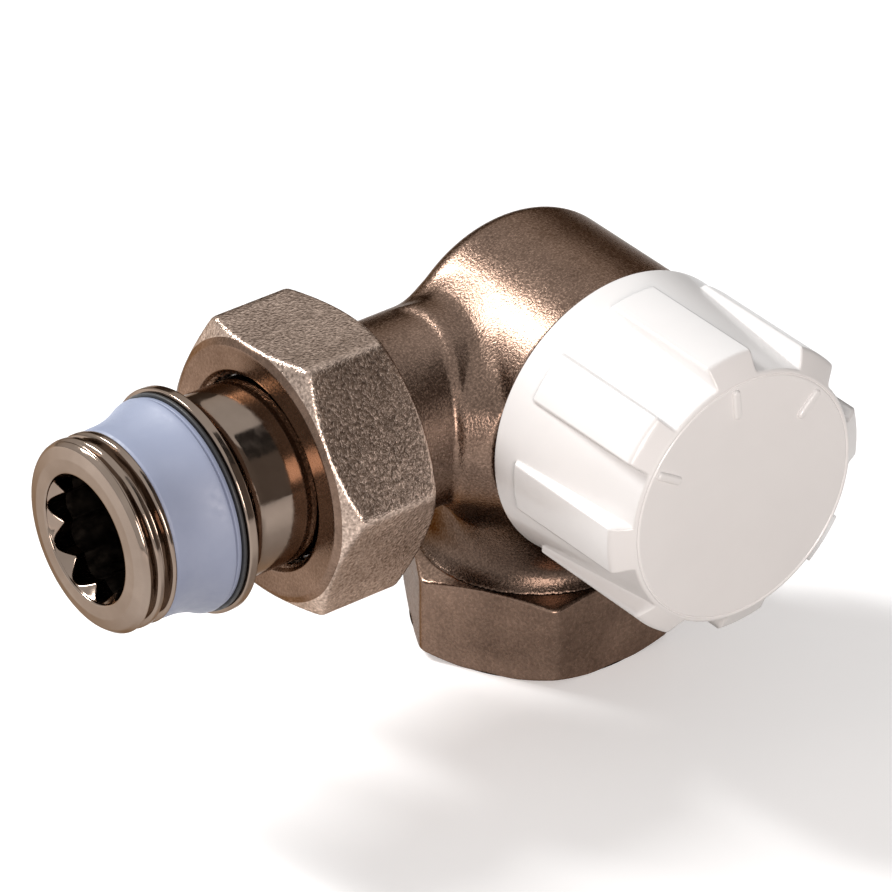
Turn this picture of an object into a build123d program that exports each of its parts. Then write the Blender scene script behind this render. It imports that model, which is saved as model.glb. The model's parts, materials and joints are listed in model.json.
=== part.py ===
"""Angle radiator valve body with white handwheel, union nut and threaded tailpiece.

Millimetres, +Z up.  The origin is on the inlet axis where the full inlet thread starts, just inside the
mouth; the inlet runs up +Z, the outlet union along -X and the handwheel along -Y.  The three axes meet
at height AXIS_H.
"""
from build123d import *
import math
import os

# Driving sizes
AXIS_H = 30.6            # height of the barrel and outlet axes over the start of the inlet thread
HEX_AF = 27.0            # inlet hexagon across flats
HEX_H = 10.4             # inlet hexagon height
INLET_DEPTH = 12.3       # length of the inlet thread
LEAD_IN = 1.2            # lead-in chamfer at the inlet mouth
TAIL_THREAD_R = 10.4775  # major radius of the G 1/2 tailpiece thread
TAIL_END = 58.5          # barrel axis to tailpiece end face
TAIL_THREAD = 5.9        # bare thread in front of the seal
SEAL_LENGTH = 5.6        # moulded seal
BACKING_T = 0.5          # backing ring behind the seal
COLLAR_T = 1.1           # tailpiece collar
NUT_AF = 29.0            # union nut across flats
NUT_TURN = 4.0           # clocking of the union nut, degrees
BARREL_R = 15.45         # forged barrel
BARREL_REAR = -4.2       # where the barrel ends and its dome starts
DOME = 5.9               # height of the dome behind the barrel
NECK_R = 10.6            # outlet neck
LEG_R = 11.8             # inlet leg
UNION_R = 12.0           # M24 x 1.5 union thread
COLLAR_R = 14.0          # M28 x 1.5 head collar
KNOB_REAR = 13.55        # handwheel rim plane
KNOB_FACE = 34.5         # handwheel face plane
KNOB_R = 16.35           # handwheel radius at the rim
KNOB_FACE_R = 14.4       # handwheel radius at the face
RIB_R = 16.55            # handwheel rib radius
RIB_COUNT = 8
RIB_PHASE = 4.0          # clocking of the ribs, degrees
LIFT = 2.25              # valve disc lift, one and a half turns of the handwheel

# Clearances
RUN = 0.05               # running fit on radius
SEATED = 0.3             # gap between separate bodies
THREAD_FIT = 0.06        # plain thread flanks, on radius

# Planes and axes; FRONT sketches face the handwheel, SIDE sketches face the tailpiece end
CENTRE = (0, 0, AXIS_H)
FRONT = Plane(origin=CENTRE, x_dir=(1, 0, 0), z_dir=(0, -1, 0))
SIDE = Plane(origin=CENTRE, x_dir=(0, -1, 0), z_dir=(-1, 0, 0))
KNOB_PROFILE = Plane(origin=CENTRE, x_dir=(1, 0, 0), z_dir=(0, 0, -1))
TAIL_PROFILE = Plane(origin=CENTRE, x_dir=(0, 0, 1), z_dir=(0, -1, 0))
KNOB_AXIS = Axis(CENTRE, (0, -1, 0))
TAIL_AXIS = Axis(CENTRE, (-1, 0, 0))

# Derived stations along the handwheel axis
BARREL_FRONT = KNOB_REAR - SEATED
COLLAR_END = BARREL_FRONT + 7.8
PARTITION = -0.3
REAR_WALL = PARTITION - 5.4
CHAMBER_FLOOR = PARTITION + 2.0
SEAT = CHAMBER_FLOOR + 0.8
SEAT_R = 5.0
CHAMBER_R = 9.6
BONNET_R = 11.0
DISC_R = 7.0
DISC_BACK = SEAT + 2.5
HOLDER_BACK = DISC_BACK + 1.6
BONNET_SHOULDER = HOLDER_BACK + LIFT + 0.65
SPIGOT_R = 1.5
STEM_R = 2.0
STEM_END = KNOB_REAR + 13.4
BONNET_NOSE = BONNET_SHOULDER + SEATED
GLAND_FLOOR = BONNET_NOSE + 2.7
CUP_FLOOR = GLAND_FLOOR + 2.5
CUP_R = 6.3
RING_SEAT = COLLAR_END - 2.95
FLANGE_END = COLLAR_END + 1.5
BONNET_END = FLANGE_END + 2.0
RETAINER = STEM_END - 2.8
RETAINER_T = 0.8
CLIP_T = 0.6
SPRING_WIRE = 0.9
SPRING_R = 4.9
SPRING_TURNS = 5.5

# Derived stations along the outlet axis
NECK_THREAD = 25.6
NECK_END = 33.0
NECK_BORE_R = 6.5
CONE_R = 9.3
CONE_TAN = math.tan(math.radians(30))
CONE_START = NECK_END - (CONE_R - NECK_BORE_R) / CONE_TAN
NUT_REAR = 24.3
NUT_FRONT = 37.0
NUT_LIP = 35.0
NUT_HOLE_R = 10.35
TAIL_NECK_R = NUT_HOLE_R - SEATED
TAIL_BORE_R = 6.0
SEAL_FRONT = TAIL_END - TAIL_THREAD
SEAL_REAR = SEAL_FRONT - SEAL_LENGTH
COLLAR_FRONT = SEAL_REAR - BACKING_T
COLLAR_REAR = COLLAR_FRONT - COLLAR_T
SEAL_BORE_R = TAIL_THREAD_R - 0.63
SEAL_LIP_R = TAIL_THREAD_R + 0.92
COLLAR_RIM_R = TAIL_THREAD_R + 1.82
INLET_R = TAIL_THREAD_R + THREAD_FIT
KEY_DEPTH = 11.0
KEY_POINTS = 10
KEY_R = 7.04
KEY_PHASE = 194.0

hex_corner = HEX_AF / math.sqrt(3)
hex_face = HEX_AF / 2 - 0.25
hex_chamfer = (hex_corner - hex_face) * math.tan(math.radians(20))
hex_lip = HEX_AF / 2 + 0.35
lip_chamfer = (hex_corner - hex_lip) * CONE_TAN
nut_corner = NUT_AF / math.sqrt(3)
nut_face = NUT_AF / 2 - 0.7
nut_chamfer = (nut_corner - nut_face) * CONE_TAN
leg_top = AXIS_H - 4.0
leg_foot = LEG_R + 1.3
mouth = -LEAD_IN
hex_top = mouth + HEX_H


# Forged body: hexagon socket, leg, barrel, collar and union neck, then the waterways
with BuildPart() as valve_body:
    with BuildSketch(Plane.XY.offset(mouth)):
        RegularPolygon(radius=HEX_AF / 2, side_count=6, major_radius=False)
    extrude(amount=HEX_H)
    with BuildSketch(Plane.XZ):
        with BuildLine():
            Polyline((0, mouth), (hex_lip, mouth), (hex_corner, mouth + lip_chamfer),
                     (hex_corner + 0.2, mouth + lip_chamfer + 0.2 * CONE_TAN),
                     (hex_corner + 0.2, hex_top - hex_chamfer), (hex_corner, hex_top - hex_chamfer),
                     (hex_face, hex_top), (0, hex_top), close=True)
        make_face()
    revolve(axis=Axis.Z, mode=Mode.INTERSECT)
    with BuildSketch(Plane.XZ):
        with BuildLine():
            Line((0, hex_top - 1), (leg_foot, hex_top - 1))
            Line((leg_foot, hex_top - 1), (leg_foot, hex_top))
            ThreePointArc((leg_foot, hex_top), (LEG_R + 0.4, hex_top + 1.0), (LEG_R, hex_top + 3.2))
            Line((LEG_R, hex_top + 3.2), (LEG_R, leg_top))
            CenterArc((0, leg_top), LEG_R, 0, 90)
            Line((0, leg_top + LEG_R), (0, hex_top - 1))
        make_face()
    revolve(axis=Axis.Z)
    with BuildSketch(KNOB_PROFILE):
        with BuildLine():
            EllipticalCenterArc((0, BARREL_REAR), BARREL_R, DOME, start_angle=-90, arc_size=90)
            Polyline((BARREL_R, BARREL_REAR), (BARREL_R, BARREL_FRONT - 0.4),
                     (BARREL_R - 0.4, BARREL_FRONT), (COLLAR_R - 1.0, BARREL_FRONT),
                     (COLLAR_R - 1.0, BARREL_FRONT + 1.0), (COLLAR_R, BARREL_FRONT + 2.0),
                     (COLLAR_R, COLLAR_END - 1.0), (COLLAR_R - 1.0, COLLAR_END), (0, COLLAR_END),
                     (0, BARREL_REAR - DOME))
        make_face()
    revolve(axis=KNOB_AXIS)
    with BuildSketch(TAIL_PROFILE):
        with BuildLine():
            CenterArc((0, 0), NECK_R, -90, 90)
            Polyline((NECK_R, 0), (NECK_R, NECK_THREAD - 1.0), (UNION_R, NECK_THREAD + 0.4),
                     (UNION_R, NECK_END - 1.0), (UNION_R - 1.0, NECK_END), (0, NECK_END), (0, -NECK_R))
        make_face()
    revolve(axis=TAIL_AXIS)
    # Inlet thread bore with its lead-in
    with BuildSketch(Plane.XZ):
        with BuildLine():
            Polyline((0, mouth), (INLET_R + LEAD_IN, mouth), (INLET_R, 0), (INLET_R, INLET_DEPTH),
                     (6.0, INLET_DEPTH + 1.9), (0, INLET_DEPTH + 1.9), close=True)
        make_face()
    revolve(axis=Axis.Z, mode=Mode.SUBTRACT)
    # Riser from the inlet to the rear chamber
    with BuildSketch(Plane.XY.offset(INLET_DEPTH + 0.5)):
        with Locations((0, 3.6)):
            SlotOverall(12.0, 6.0)
    extrude(amount=AXIS_H - 4.0 - INLET_DEPTH - 0.5, mode=Mode.SUBTRACT)
    # Rear chamber, seat port, front chamber and bonnet bore
    with BuildSketch(KNOB_PROFILE):
        with BuildLine():
            Polyline((0, REAR_WALL), (6.0, REAR_WALL), (8.5, REAR_WALL + 2.5), (8.5, PARTITION),
                     (SEAT_R, PARTITION),
                     (SEAT_R, SEAT), (SEAT_R + 1.2, SEAT), (SEAT_R + 1.6, CHAMBER_FLOOR),
                     (CHAMBER_R, CHAMBER_FLOOR), (CHAMBER_R, BONNET_SHOULDER),
                     (BONNET_R, BONNET_SHOULDER), (BONNET_R, COLLAR_END), (0, COLLAR_END), close=True)
        make_face()
    revolve(axis=KNOB_AXIS, mode=Mode.SUBTRACT)
    # Outlet window out of the front chamber
    with BuildSketch(SIDE.offset(7.5)):
        with Locations((CHAMBER_FLOOR + 4.1, 0)):
            RectangleRounded(6.6, 13.0, 2.0)
    extrude(amount=5.2, mode=Mode.SUBTRACT)
    with BuildSketch(TAIL_PROFILE):
        with BuildLine():
            Polyline((0, 12.0), (NECK_BORE_R, 12.0), (NECK_BORE_R, CONE_START), (CONE_R, NECK_END),
                     (0, NECK_END), close=True)
        make_face()
    revolve(axis=TAIL_AXIS, mode=Mode.SUBTRACT)
valve_body.part.label = "valve_body"

# Brass bonnet screwed into the collar: stem guide, gland pocket and spring cup
with BuildPart() as bonnet:
    with BuildSketch(KNOB_PROFILE):
        with BuildLine():
            Polyline((STEM_R + RUN, BONNET_NOSE), (BONNET_R - 1.2, BONNET_NOSE),
                     (BONNET_R - THREAD_FIT, BONNET_NOSE + 1.2), (BONNET_R - THREAD_FIT, RING_SEAT - 0.9),
                     (BONNET_R - 1.5, RING_SEAT - 0.9), (BONNET_R - 1.5, RING_SEAT + 0.9),
                     (BONNET_R - THREAD_FIT, RING_SEAT + 0.9),
                     (BONNET_R - THREAD_FIT, COLLAR_END), (COLLAR_R - 1.4, COLLAR_END),
                     (COLLAR_R - 1.4, FLANGE_END), (CUP_R, FLANGE_END), (CUP_R, CUP_FLOOR),
                     (3.5, CUP_FLOOR), (3.5, GLAND_FLOOR), (STEM_R + RUN, GLAND_FLOOR), close=True)
        make_face()
    revolve(axis=KNOB_AXIS)
    with BuildSketch(FRONT.offset(FLANGE_END)):
        RegularPolygon(radius=9.5, side_count=6, major_radius=False)
        Circle(CUP_R, mode=Mode.SUBTRACT)
    extrude(amount=BONNET_END - FLANGE_END)
bonnet.part.label = "bonnet"

with BuildPart() as bonnet_o_ring:
    with BuildSketch(KNOB_PROFILE):
        with Locations((BONNET_R - 0.76, RING_SEAT)):
            Circle(0.72)
    revolve(axis=KNOB_AXIS)
bonnet_o_ring.part.label = "bonnet_o_ring"

with BuildPart() as stem_o_ring:
    with BuildSketch(KNOB_PROFILE):
        with Locations((STEM_R + 0.74, GLAND_FLOOR + 0.72)):
            Circle(0.70)
    revolve(axis=KNOB_AXIS)
stem_o_ring.part.label = "stem_o_ring"

with BuildPart() as gland_nut:
    with BuildSketch(FRONT.offset(GLAND_FLOOR + 1.5)):
        Circle(3.5 - RUN)
    extrude(amount=CUP_FLOOR - GLAND_FLOOR - 1.5)
    with BuildSketch(FRONT.offset(CUP_FLOOR)):
        RegularPolygon(radius=4.0, side_count=6)
    extrude(amount=1.8)
    with BuildSketch(FRONT.offset(GLAND_FLOOR)):
        Circle(STEM_R + RUN)
    extrude(amount=8.0, mode=Mode.SUBTRACT)
gland_nut.part.label = "gland_nut"

# Stem with the spigot for the valve disc and the clip groove
with BuildPart() as stem:
    with BuildSketch(KNOB_PROFILE):
        with BuildLine():
            Polyline((0, SEAT - 1.8), (SPIGOT_R - 0.3, SEAT - 1.8), (SPIGOT_R, SEAT - 1.5),
                     (SPIGOT_R, HOLDER_BACK), (STEM_R, HOLDER_BACK), (STEM_R, RETAINER + RETAINER_T),
                     (STEM_R - 0.4, RETAINER + RETAINER_T),
                     (STEM_R - 0.4, RETAINER + RETAINER_T + CLIP_T),
                     (STEM_R, RETAINER + RETAINER_T + CLIP_T), (STEM_R, STEM_END - 0.5),
                     (STEM_R - 0.5, STEM_END), (0, STEM_END), close=True)
        make_face()
    revolve(axis=KNOB_AXIS)
stem.part.label = "stem"

with BuildPart() as disc_holder:
    with BuildSketch(KNOB_PROFILE):
        with BuildLine():
            Polyline((SPIGOT_R + RUN, DISC_BACK), (DISC_R + RUN, DISC_BACK), (DISC_R + RUN, SEAT + 0.9),
                     (DISC_R + 0.8, SEAT + 0.9), (DISC_R + 0.8, HOLDER_BACK - 0.6),
                     (DISC_R + 0.2, HOLDER_BACK), (SPIGOT_R + RUN, HOLDER_BACK), close=True)
        make_face()
    revolve(axis=KNOB_AXIS)
disc_holder.part.label = "disc_holder"

with BuildPart() as valve_disc:
    with BuildSketch(FRONT.offset(SEAT)):
        Circle(DISC_R)
        Circle(SPIGOT_R + RUN, mode=Mode.SUBTRACT)
    extrude(amount=DISC_BACK - SEAT)
valve_disc.part.label = "valve_disc"

with BuildPart() as disc_nut:
    with BuildSketch(FRONT.offset(SEAT - 1.5)):
        RegularPolygon(radius=2.9, side_count=6)
        Circle(SPIGOT_R + RUN, mode=Mode.SUBTRACT)
    extrude(amount=1.5)
disc_nut.part.label = "disc_nut"

with BuildPart() as spring_retainer:
    with BuildSketch(FRONT.offset(RETAINER)):
        Circle(CUP_R - 0.7)
        Circle(STEM_R + RUN, mode=Mode.SUBTRACT)
    extrude(amount=RETAINER_T)
spring_retainer.part.label = "spring_retainer"

with BuildPart() as stem_clip:
    with BuildSketch(FRONT.offset(RETAINER + RETAINER_T)):
        Circle(STEM_R + 1.5)
        Circle(STEM_R - 0.4 + RUN, mode=Mode.SUBTRACT)
        with Locations((0, -2.0)):
            Rectangle(2.4, 4.0, mode=Mode.SUBTRACT)
    extrude(amount=CLIP_T)
stem_clip.part.label = "stem_clip"

# Return spring: round wire on a helix between the cup floor and the retainer
spring_low = CUP_FLOOR + SPRING_WIRE / 2 + 0.02
spring_high = RETAINER - SPRING_WIRE / 2 - 0.02
with BuildPart() as return_spring:
    with BuildLine():
        coil = Helix(pitch=(spring_high - spring_low) / SPRING_TURNS, height=spring_high - spring_low,
                     radius=SPRING_R, center=(0, -spring_low, AXIS_H), direction=(0, -1, 0))
    with BuildSketch(Plane(origin=coil @ 0, z_dir=coil % 0)):
        Circle(SPRING_WIRE / 2)
    sweep(path=coil, is_frenet=True)
return_spring.part.label = "return_spring"

# Handwheel: rib ring cut into eight ribs, tapered shell, raised tick marks, threaded cavity
shell_slope = (KNOB_R - KNOB_FACE_R) / (KNOB_FACE - KNOB_REAR)
gap_slope = math.tan(math.radians(0.544 * 180 / RIB_COUNT))
thread_end = COLLAR_END + 2.1
with BuildPart() as handwheel:
    with BuildSketch(KNOB_PROFILE):
        with BuildLine():
            Polyline((12.6, KNOB_REAR + 3.4), (RIB_R - 0.2, KNOB_REAR + 3.4), (RIB_R, KNOB_REAR + 3.8),
                     (RIB_R, KNOB_FACE - 1.2), (RIB_R - 0.3, KNOB_FACE - 0.8),
                     (KNOB_FACE_R - 0.2, KNOB_FACE - 0.2), (12.6, KNOB_FACE - 0.2), close=True)
        make_face()
    revolve(axis=KNOB_AXIS)
    with BuildSketch(FRONT.offset(KNOB_REAR + 2.0)):
        with PolarLocations(0, RIB_COUNT, start_angle=180 / RIB_COUNT + RIB_PHASE):
            Polygon((RIB_R / 2, -gap_slope * RIB_R / 2), (RIB_R + 2.5, -gap_slope * (RIB_R + 2.5)),
                    (RIB_R + 2.5, gap_slope * (RIB_R + 2.5)), (RIB_R / 2, gap_slope * RIB_R / 2),
                    align=None)
    extrude(amount=KNOB_FACE - KNOB_REAR, mode=Mode.SUBTRACT)
    with BuildSketch(KNOB_PROFILE):
        with BuildLine():
            Polyline((0, KNOB_REAR), (KNOB_R - 0.5, KNOB_REAR), (KNOB_R, KNOB_REAR + 0.5),
                     (KNOB_FACE_R + 0.5 * shell_slope, KNOB_FACE - 0.5), (KNOB_FACE_R - 0.45, KNOB_FACE),
                     (0, KNOB_FACE), close=True)
        make_face()
    revolve(axis=KNOB_AXIS)
    with BuildSketch(FRONT.offset(KNOB_FACE)):
        for tick in (44.0, 96.0, 148.5):
            with PolarLocations(11.8, 1, start_angle=tick):
                SlotOverall(3.0, 1.0)
    extrude(amount=0.4)
    with BuildSketch(KNOB_PROFILE):
        with BuildLine():
            Polyline((0, KNOB_REAR), (COLLAR_R + THREAD_FIT + 0.6, KNOB_REAR),
                     (COLLAR_R + THREAD_FIT, KNOB_REAR + 0.6), (COLLAR_R + THREAD_FIT, thread_end),
                     (11.6, thread_end + 2.4), (11.6, KNOB_FACE - 2.3), (4.2, KNOB_FACE - 2.3),
                     (4.2, STEM_END + 0.8), (0, STEM_END + 0.8), close=True)
        make_face()
    revolve(axis=KNOB_AXIS, mode=Mode.SUBTRACT)
    with BuildSketch(FRONT.offset(KNOB_FACE - 4.0)):
        with PolarLocations(7.9, 4, start_angle=45):
            Rectangle(8.2, 1.2)
    extrude(amount=2.0)
    with BuildSketch(FRONT.offset(STEM_END + 0.5)):
        Circle(2.5 + RUN)
    extrude(amount=4.0, mode=Mode.SUBTRACT)
handwheel.part.label = "handwheel"

with BuildPart() as thrust_pin:
    with BuildSketch(FRONT.offset(STEM_END)):
        Circle(2.5)
    extrude(amount=4.5)
thrust_pin.part.label = "thrust_pin"

# Union nut: chamfered hexagon, thread bore and front lip
with BuildPart() as union_nut:
    with BuildSketch(SIDE.offset(NUT_REAR)):
        RegularPolygon(radius=NUT_AF / 2, side_count=6, major_radius=False, rotation=NUT_TURN)
    extrude(amount=NUT_FRONT - NUT_REAR)
    with BuildSketch(TAIL_PROFILE):
        with BuildLine():
            Polyline((0, NUT_REAR), (nut_face, NUT_REAR),
                     (nut_corner + 0.2, NUT_REAR + nut_chamfer + 0.2 * CONE_TAN),
                     (nut_corner + 0.2, NUT_FRONT - nut_chamfer - 0.2 * CONE_TAN),
                     (nut_face, NUT_FRONT), (0, NUT_FRONT), close=True)
        make_face()
    revolve(axis=TAIL_AXIS, mode=Mode.INTERSECT)
    with BuildSketch(TAIL_PROFILE):
        with BuildLine():
            Polyline((0, NUT_REAR), (UNION_R + THREAD_FIT + 0.7, NUT_REAR),
                     (UNION_R + THREAD_FIT, NUT_REAR + 0.7), (UNION_R + THREAD_FIT, NUT_LIP),
                     (NUT_HOLE_R, NUT_LIP), (NUT_HOLE_R, NUT_FRONT - 0.7),
                     (NUT_HOLE_R + 0.7, NUT_FRONT), (0, NUT_FRONT), close=True)
        make_face()
    revolve(axis=TAIL_AXIS, mode=Mode.SUBTRACT)
union_nut.part.label = "union_nut"

# Tailpiece: cone nose with ring groove, retaining groove, neck, collar, seal land, thread and key socket
nose_start = CONE_START + 0.8
nose_gap = 0.1
ring_mid = CONE_START + 2.95
with BuildPart() as tailpiece:
    with BuildSketch(TAIL_PROFILE):
        with BuildLine():
            Polyline((TAIL_BORE_R, nose_start),
                     (NECK_BORE_R - nose_gap + (nose_start - CONE_START) * CONE_TAN, nose_start),
                     (NECK_BORE_R - nose_gap + (ring_mid - 0.6 - CONE_START) * CONE_TAN, ring_mid - 0.6),
                     (6.95, ring_mid - 0.6), (6.95, ring_mid + 0.6),
                     (NECK_BORE_R - nose_gap + (ring_mid + 0.6 - CONE_START) * CONE_TAN, ring_mid + 0.6),
                     (NECK_BORE_R - nose_gap + (NECK_END - 0.4 - CONE_START) * CONE_TAN, NECK_END - 0.4),
                     (NECK_BORE_R - nose_gap + (NECK_END - 0.4 - CONE_START) * CONE_TAN, NECK_END + 0.1),
                     (TAIL_NECK_R, NECK_END + 0.1), (TAIL_NECK_R, NUT_LIP - 1.0),
                     (TAIL_NECK_R - 0.4, NUT_LIP - 1.0), (TAIL_NECK_R - 0.4, NUT_LIP - 0.1),
                     (TAIL_NECK_R, NUT_LIP - 0.1), (TAIL_NECK_R, COLLAR_REAR - 1.0),
                     (TAIL_NECK_R + 0.9, COLLAR_REAR), (COLLAR_RIM_R - 0.2, COLLAR_REAR),
                     (COLLAR_RIM_R, COLLAR_REAR + 0.2), (COLLAR_RIM_R, COLLAR_FRONT - 0.2),
                     (COLLAR_RIM_R - 0.2, COLLAR_FRONT),
                     (SEAL_BORE_R - RUN, COLLAR_FRONT), (SEAL_BORE_R - RUN, SEAL_FRONT),
                     (TAIL_THREAD_R, SEAL_FRONT + 0.1), (TAIL_THREAD_R, TAIL_END - 0.9),
                     (TAIL_THREAD_R - 0.5, TAIL_END - 0.3), (TAIL_THREAD_R - 1.8, TAIL_END),
                     (TAIL_BORE_R, TAIL_END), close=True)
        make_face()
    revolve(axis=TAIL_AXIS)
    with BuildSketch(SIDE.offset(TAIL_END - KEY_DEPTH)):
        with BuildLine():
            star = []
            for k in range(KEY_POINTS):
                tip = math.radians(KEY_PHASE + 360 / KEY_POINTS * k)
                for turn, reach in ((-0.5, KEY_R), (-0.36, KEY_R), (0.0, TAIL_BORE_R), (0.36, KEY_R)):
                    angle = tip + turn * 2 * math.pi / KEY_POINTS
                    star.append((reach * math.cos(angle), reach * math.sin(angle)))
            Polyline(*star, close=True)
        make_face()
    extrude(amount=KEY_DEPTH, mode=Mode.SUBTRACT)
    with BuildSketch(TAIL_PROFILE):
        with BuildLine():
            Polyline((0, TAIL_END - 0.5), (KEY_R - 0.3, TAIL_END - 0.5), (KEY_R + 0.1, TAIL_END),
                     (0, TAIL_END), close=True)
        make_face()
    revolve(axis=TAIL_AXIS, mode=Mode.SUBTRACT)
tailpiece.part.label = "tailpiece"

with BuildPart() as tail_o_ring:
    with BuildSketch(TAIL_PROFILE):
        with Locations((7.47, ring_mid)):
            Circle(0.5)
    revolve(axis=TAIL_AXIS)
tail_o_ring.part.label = "tail_o_ring"

with BuildPart() as nut_retaining_ring:
    with BuildSketch(TAIL_PROFILE):
        with Locations((TAIL_NECK_R + 0.08, NUT_LIP - 0.55)):
            Circle(0.43)
    revolve(axis=TAIL_AXIS)
    with BuildSketch(SIDE.offset(NUT_LIP - 2.0)):
        with Locations((0, -TAIL_NECK_R)):
            Rectangle(2.2, 3.0)
    extrude(amount=3.0, mode=Mode.SUBTRACT)
nut_retaining_ring.part.label = "nut_retaining_ring"

with BuildPart() as seal_backing_ring:
    with BuildSketch(TAIL_PROFILE):
        with BuildLine():
            Polyline((SEAL_BORE_R, COLLAR_FRONT), (SEAL_LIP_R + 0.3, COLLAR_FRONT),
                     (SEAL_LIP_R + 0.5, COLLAR_FRONT + BACKING_T / 4),
                     (SEAL_LIP_R + 0.5, SEAL_REAR - BACKING_T / 4), (SEAL_LIP_R + 0.3, SEAL_REAR),
                     (SEAL_BORE_R, SEAL_REAR), close=True)
        make_face()
    revolve(axis=TAIL_AXIS)
seal_backing_ring.part.label = "seal_backing_ring"

with BuildPart() as tailpiece_seal:
    with BuildSketch(TAIL_PROFILE):
        with BuildLine():
            Polyline((SEAL_BORE_R, SEAL_REAR), (SEAL_LIP_R, SEAL_REAR),
                     (SEAL_LIP_R, SEAL_REAR + 0.11 * SEAL_LENGTH),
                     (SEAL_LIP_R - 0.4, SEAL_REAR + 0.135 * SEAL_LENGTH),
                     (SEAL_LIP_R, SEAL_REAR + 0.16 * SEAL_LENGTH),
                     (SEAL_LIP_R, SEAL_REAR + 0.62 * SEAL_LENGTH),
                     (SEAL_LIP_R - 0.5, SEAL_REAR + 0.72 * SEAL_LENGTH),
                     (SEAL_LIP_R - 0.6, SEAL_FRONT - 0.08 * SEAL_LENGTH), (SEAL_LIP_R - 0.9, SEAL_FRONT),
                     (SEAL_BORE_R, SEAL_FRONT), close=True)
        make_face()
    revolve(axis=TAIL_AXIS)
tailpiece_seal.part.label = "tailpiece_seal"

os.makedirs("parts", exist_ok=True)
export_step(valve_body.part, "parts/valve_body.step")
export_step(bonnet.part, "parts/bonnet.step")
export_step(bonnet_o_ring.part, "parts/bonnet_o_ring.step")
export_step(stem_o_ring.part, "parts/stem_o_ring.step")
export_step(gland_nut.part, "parts/gland_nut.step")
export_step(stem.part, "parts/stem.step")
export_step(disc_holder.part, "parts/disc_holder.step")
export_step(valve_disc.part, "parts/valve_disc.step")
export_step(disc_nut.part, "parts/disc_nut.step")
export_step(spring_retainer.part, "parts/spring_retainer.step")
export_step(stem_clip.part, "parts/stem_clip.step")
export_step(return_spring.part, "parts/return_spring.step")
export_step(handwheel.part, "parts/handwheel.step")
export_step(thrust_pin.part, "parts/thrust_pin.step")
export_step(union_nut.part, "parts/union_nut.step")
export_step(tailpiece.part, "parts/tailpiece.step")
export_step(tail_o_ring.part, "parts/tail_o_ring.step")
export_step(nut_retaining_ring.part, "parts/nut_retaining_ring.step")
export_step(seal_backing_ring.part, "parts/seal_backing_ring.step")
export_step(tailpiece_seal.part, "parts/tailpiece_seal.step")
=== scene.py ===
# %% [markdown]
# # A corner radiator valve, dressed around its CAD frame
#
# The frame gives every piece its place and its motion. This lesson gives each visible piece a surface
# worked out with numpy and a node material, then a camera and a soft studio. All lengths are written in
# millimetres and turned into metres in one place.

# %% Frame
import json
import math

import bpy
import numpy as np
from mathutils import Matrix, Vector


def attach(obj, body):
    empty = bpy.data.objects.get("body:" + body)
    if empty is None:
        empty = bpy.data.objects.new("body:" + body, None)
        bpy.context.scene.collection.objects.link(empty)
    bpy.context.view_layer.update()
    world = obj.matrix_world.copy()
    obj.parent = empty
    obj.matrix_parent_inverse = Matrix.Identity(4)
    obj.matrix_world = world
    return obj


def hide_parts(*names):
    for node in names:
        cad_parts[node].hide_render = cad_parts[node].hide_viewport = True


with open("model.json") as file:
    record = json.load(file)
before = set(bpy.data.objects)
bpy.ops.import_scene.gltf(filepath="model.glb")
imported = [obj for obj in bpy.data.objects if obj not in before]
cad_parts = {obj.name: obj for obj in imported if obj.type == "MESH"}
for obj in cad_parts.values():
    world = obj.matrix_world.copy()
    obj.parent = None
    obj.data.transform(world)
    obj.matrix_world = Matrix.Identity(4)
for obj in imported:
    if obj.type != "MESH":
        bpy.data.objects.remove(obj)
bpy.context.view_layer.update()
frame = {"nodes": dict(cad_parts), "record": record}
MM = 0.001
outlet = [m for m in frame["record"]["mounts"] if m["name"] == "outlet_thread"][0]
AXIS_H = outlet["pos_m"][2] / MM

# %% [markdown]
# ## Three axes
#
# Nearly every piece of this valve is turned, threaded or milled round one of three axes: the inlet below,
# the outlet to the side and the handwheel in front. Such a surface can be written as a radius and a
# distance along the axis, both on a grid of path steps and angles. These helpers turn that into points.


# %% Points round an axis
def around(count):
    """Evenly spaced angles of one full turn, as a row."""
    return np.linspace(0, 2 * np.pi, count, endpoint=False)[None, :]


def column(values):
    """Numbers along a path as a column, ready to meet a row of angles."""
    return np.asarray(values, float)[:, None]


def wide(values, angle):
    """A column repeated for every angle of the row."""
    return np.broadcast_to(values, (len(values), angle.size))


def place(axis, radius, along, angle):
    """Point = distance along one of the three axes plus radius times (cos, sin) of the angle."""
    across, up = radius * np.cos(angle), radius * np.sin(angle)
    if axis == "tail":
        xyz = (-along, across, AXIS_H + up)
    elif axis == "wheel":
        xyz = (across, -along, AXIS_H + up)
    else:
        xyz = (across, up, along)
    return np.stack(np.broadcast_arrays(*xyz), -1)


print("1 mm along the handwheel axis and 1 mm off it:", place("wheel", 1.0, 1.0, 0.0))

# %% [markdown]
# ## A grid of points becomes a mesh
#
# Blender wants points and faces. One helper joins neighbouring grid points into quads, closes the seam of
# the angle, and closes the path either on itself or in a single point on the axis. The faces have to look
# outwards, and the sign of the enclosed volume tells whether they do, so no one has to think about winding.


# %% Mesh helpers
def mesh_object(name, points, groups, body):
    """Puts points in millimetres and groups of equal-sided faces into a smooth mesh that rides on a body."""
    mesh = bpy.data.meshes.new(name)
    mesh.from_pydata((points * MM).tolist(), [], sum((g.tolist() for g in groups), []))
    mesh.polygons.foreach_set("use_smooth", np.ones(len(mesh.polygons), bool))
    mesh.update()
    obj = bpy.data.objects.new(name, mesh)
    bpy.context.scene.collection.objects.link(obj)
    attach(obj, body)
    print(name, len(mesh.vertices), "points", len(mesh.polygons), "faces")
    return obj


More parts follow.
